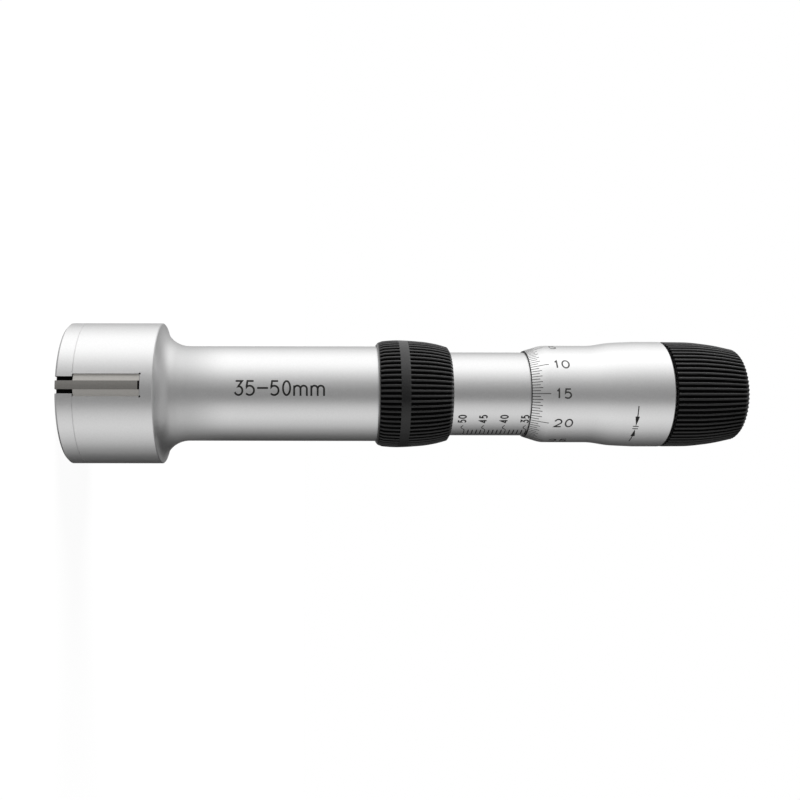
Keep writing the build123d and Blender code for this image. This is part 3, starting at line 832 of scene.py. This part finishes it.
def add_arrow_pair():
    """Two arrows round the thimble that point at two short bars. Angles start at the camera's side."""
    z, pen = 136.0, 0.24
    bar_half, head_half, head_rows = 0.66, 0.52, 6
    mm_per_degree = 0.23
    tails = [[(z, 12.8), (z, 26.0)], [(z, 49.0), (z - 0.2, 62.0)]]
    bars = [[(z - bar_half, angle), (z + bar_half, angle)] for angle in (36.7, 39.9)]
    lines = [([(along, FACING + angle) for along, angle in points], pen) for points in tails + bars]
    for base, tip in ((24.5, 36.2), (51.5, 40.6)):
        row_pen = abs(tip - base) / head_rows * mm_per_degree
        for i in range(head_rows):
            share = (i + 0.5) / head_rows
            half = head_half * (1 - share)
            angle = FACING + base + (tip - base) * share
            lines.append(([(z - half, angle), (z + half, angle)], row_pen))
    add_marks("turn_arrows", lines, "thimble_body", thimble_radius)


def seen_directly(nodes, links):
    """A socket that is one for what the camera, mirrors and glass see, and nought for other light."""
    rays = nodes.new("ShaderNodeLightPath").outputs
    mirrored = combine(nodes, links, "MAXIMUM", rays["Is Glossy Ray"], rays["Is Transmission Ray"])
    return combine(nodes, links, "MAXIMUM", rays["Is Camera Ray"], mirrored)


def add_world():
    """White for the camera and in reflections, and an even room light for the rest."""
    world = bpy.data.worlds.new("room")
    bpy.context.scene.world = world
    world.use_nodes = True
    nodes, links = world.node_tree.nodes, world.node_tree.links
    room = nodes["Background"]
    room.inputs["Color"].default_value = grey(1)
    room.inputs["Strength"].default_value = ROOM_LIGHT
    white = nodes.new("ShaderNodeBackground")
    white.inputs["Color"].default_value = grey(1)
    white.inputs["Strength"].default_value = 1.0
    mix = nodes.new("ShaderNodeMixShader")
    links.new(seen_directly(nodes, links), mix.inputs[0])
    links.new(room.outputs[0], mix.inputs[1])
    links.new(white.outputs[0], mix.inputs[2])
    links.new(mix.outputs[0], nodes["World Output"].inputs["Surface"])


def add_floor():
    """A white floor that keeps the instrument's soft shadow and sheds no light on the instrument."""
    half = FLOOR_HALF * MM
    corners = [(-half, -half, 0), (half, -half, 0), (half, half, 0), (-half, half, 0)]
    mesh = bpy.data.meshes.new("floor")
    mesh.from_pydata(corners, [], [(0, 1, 2, 3)])
    floor = link_object("floor", mesh)
    floor.visible_glossy = False
    floor.visible_diffuse = False
    material, nodes, links = new_material("floor_white")
    matt = nodes["Principled BSDF"]
    matt.inputs["Base Color"].default_value = grey(FLOOR_PAINT)
    matt.inputs["Roughness"].default_value = FLOOR_ROUGHNESS
    matt.inputs["Specular IOR Level"].default_value = 0.0
    glow = nodes.new("ShaderNodeEmission")
    glow.inputs["Strength"].default_value = FLOOR_WHITE
    mix = nodes.new("ShaderNodeMixShader")
    links.new(combine(nodes, links, "MULTIPLY", seen_directly(nodes, links), FLOOR_GLOW), mix.inputs[0])
    links.new(matt.outputs[0], mix.inputs[1])
    links.new(glow.outputs[0], mix.inputs[2])
    links.new(mix.outputs[0], nodes["Material Output"].inputs["Surface"])
    mesh.materials.append(material)


def cloth_material():
    """Light cloth whose brightness changes with the angle round the instrument."""
    material, nodes, links = new_material("tent_cloth")
    place = nodes.new("ShaderNodeTexCoord")
    turn = nodes.new("ShaderNodeMapping")
    turn.inputs["Rotation"].default_value[2] = math.radians(-FACING)
    links.new(place.outputs["Object"], turn.inputs["Vector"])
    radial = nodes.new("ShaderNodeTexGradient")
    radial.gradient_type = "RADIAL"
    links.new(turn.outputs["Vector"], radial.inputs["Vector"])
    ramp = nodes.new("ShaderNodeValToRGB")
    ramp.color_ramp.interpolation = "EASE"
    stops = ramp.color_ramp.elements
    stops.remove(stops[1])
    for i, (angle, brightness) in enumerate(TENT_CLOTH):
        share = angle / 360.0 + 0.5
        stop = stops[0] if i == 0 else stops.new(share)
        stop.position = share
        stop.color = grey(brightness / TENT_PEAK)
    links.new(radial.outputs["Fac"], ramp.inputs["Fac"])
    z = coordinates(nodes, links, place)["Z"]
    levels = TENT_PEAK, TENT_PEAK * FADE_LEAST
    fade = ramp_between(nodes, links, z, FOOT_Z + FADE_FROM, FOOT_Z + FADE_TO, *levels)
    light = nodes.new("ShaderNodeEmission")
    links.new(fade, light.inputs["Strength"])
    links.new(ramp.outputs["Color"], light.inputs["Color"])
    links.new(light.outputs[0], nodes["Material Output"].inputs["Surface"])
    return material


def end_material():
    """Cloth for the tent's ends: the lower one is even, and the upper one is brighter at the back."""
    material, nodes, links = new_material("tent_ends")
    axes = coordinates(nodes, links, nodes.new("ShaderNodeTexCoord"))
    upper = combine(nodes, links, "GREATER_THAN", axes["Z"], 0.0)
    rise = ramp_between(nodes, links, axes["Y"], END_FRONT, END_BACK, 0.0, END_AT_BACK - END_AT_FRONT)
    light = nodes.new("ShaderNodeEmission")
    total = combine(nodes, links, "ADD", combine(nodes, links, "MULTIPLY", upper, rise), END_AT_FRONT)
    links.new(total, light.inputs["Strength"])
    links.new(light.outputs[0], nodes["Material Output"].inputs["Surface"])
    return material


def add_tent():
    """The cloth tent round the instrument. The camera looks through it, and only shiny surfaces show it."""
    sides = TENT_SIDES
    low, high = FOOT_Z - TENT_REACH, FOOT_Z + TENT_REACH
    places = [polar(360.0 * i / sides, TENT_RADIUS, z) for z in (low, high) for i in range(sides)]
    walls = [(i, (i + 1) % sides, sides + (i + 1) % sides, sides + i) for i in range(sides)]
    ends = [tuple(range(sides)), tuple(range(sides, 2 * sides))]
    mesh = bpy.data.meshes.new("tent")
    mesh.from_pydata(places, [], walls + ends)
    mesh.materials.append(cloth_material())
    mesh.materials.append(end_material())
    for face in mesh.polygons[len(walls):]:
        face.material_index = 1
    tent = link_object("tent", mesh)
    tent.visible_camera = False
    tent.visible_diffuse = False
    tent.visible_shadow = False


def add_lamp():
    """A soft lamp from the photo's top. Its mirror image is left to the tent."""
    turn, rise = math.radians(FACING + LAMP_TURN), math.radians(LAMP_RISE)
    towards = Vector((math.cos(turn) * math.cos(rise), math.sin(turn) * math.cos(rise), math.sin(rise)))
    data = bpy.data.lights.new("lamp", "SUN")
    data.energy = LAMP_STRENGTH
    data.angle = math.radians(LAMP_WIDTH)
    lamp = link_object("lamp", data)
    lamp.rotation_mode = "QUATERNION"
    lamp.rotation_quaternion = towards.to_track_quat("Z", "Y")
    lamp.visible_glossy = False


bpy.context.scene.view_settings.view_transform = "Standard"
add_camera()
add_lamp()
add_world()
add_floor()
add_tent()
dress_cad_nodes()
add_front_cap()
add_springs()
add_grip_ring()
add_knob()
add_thimble()
add_turned_edges()
add_range_mark()
add_sleeve_scale()
add_thimble_scale()
add_arrow_pair()
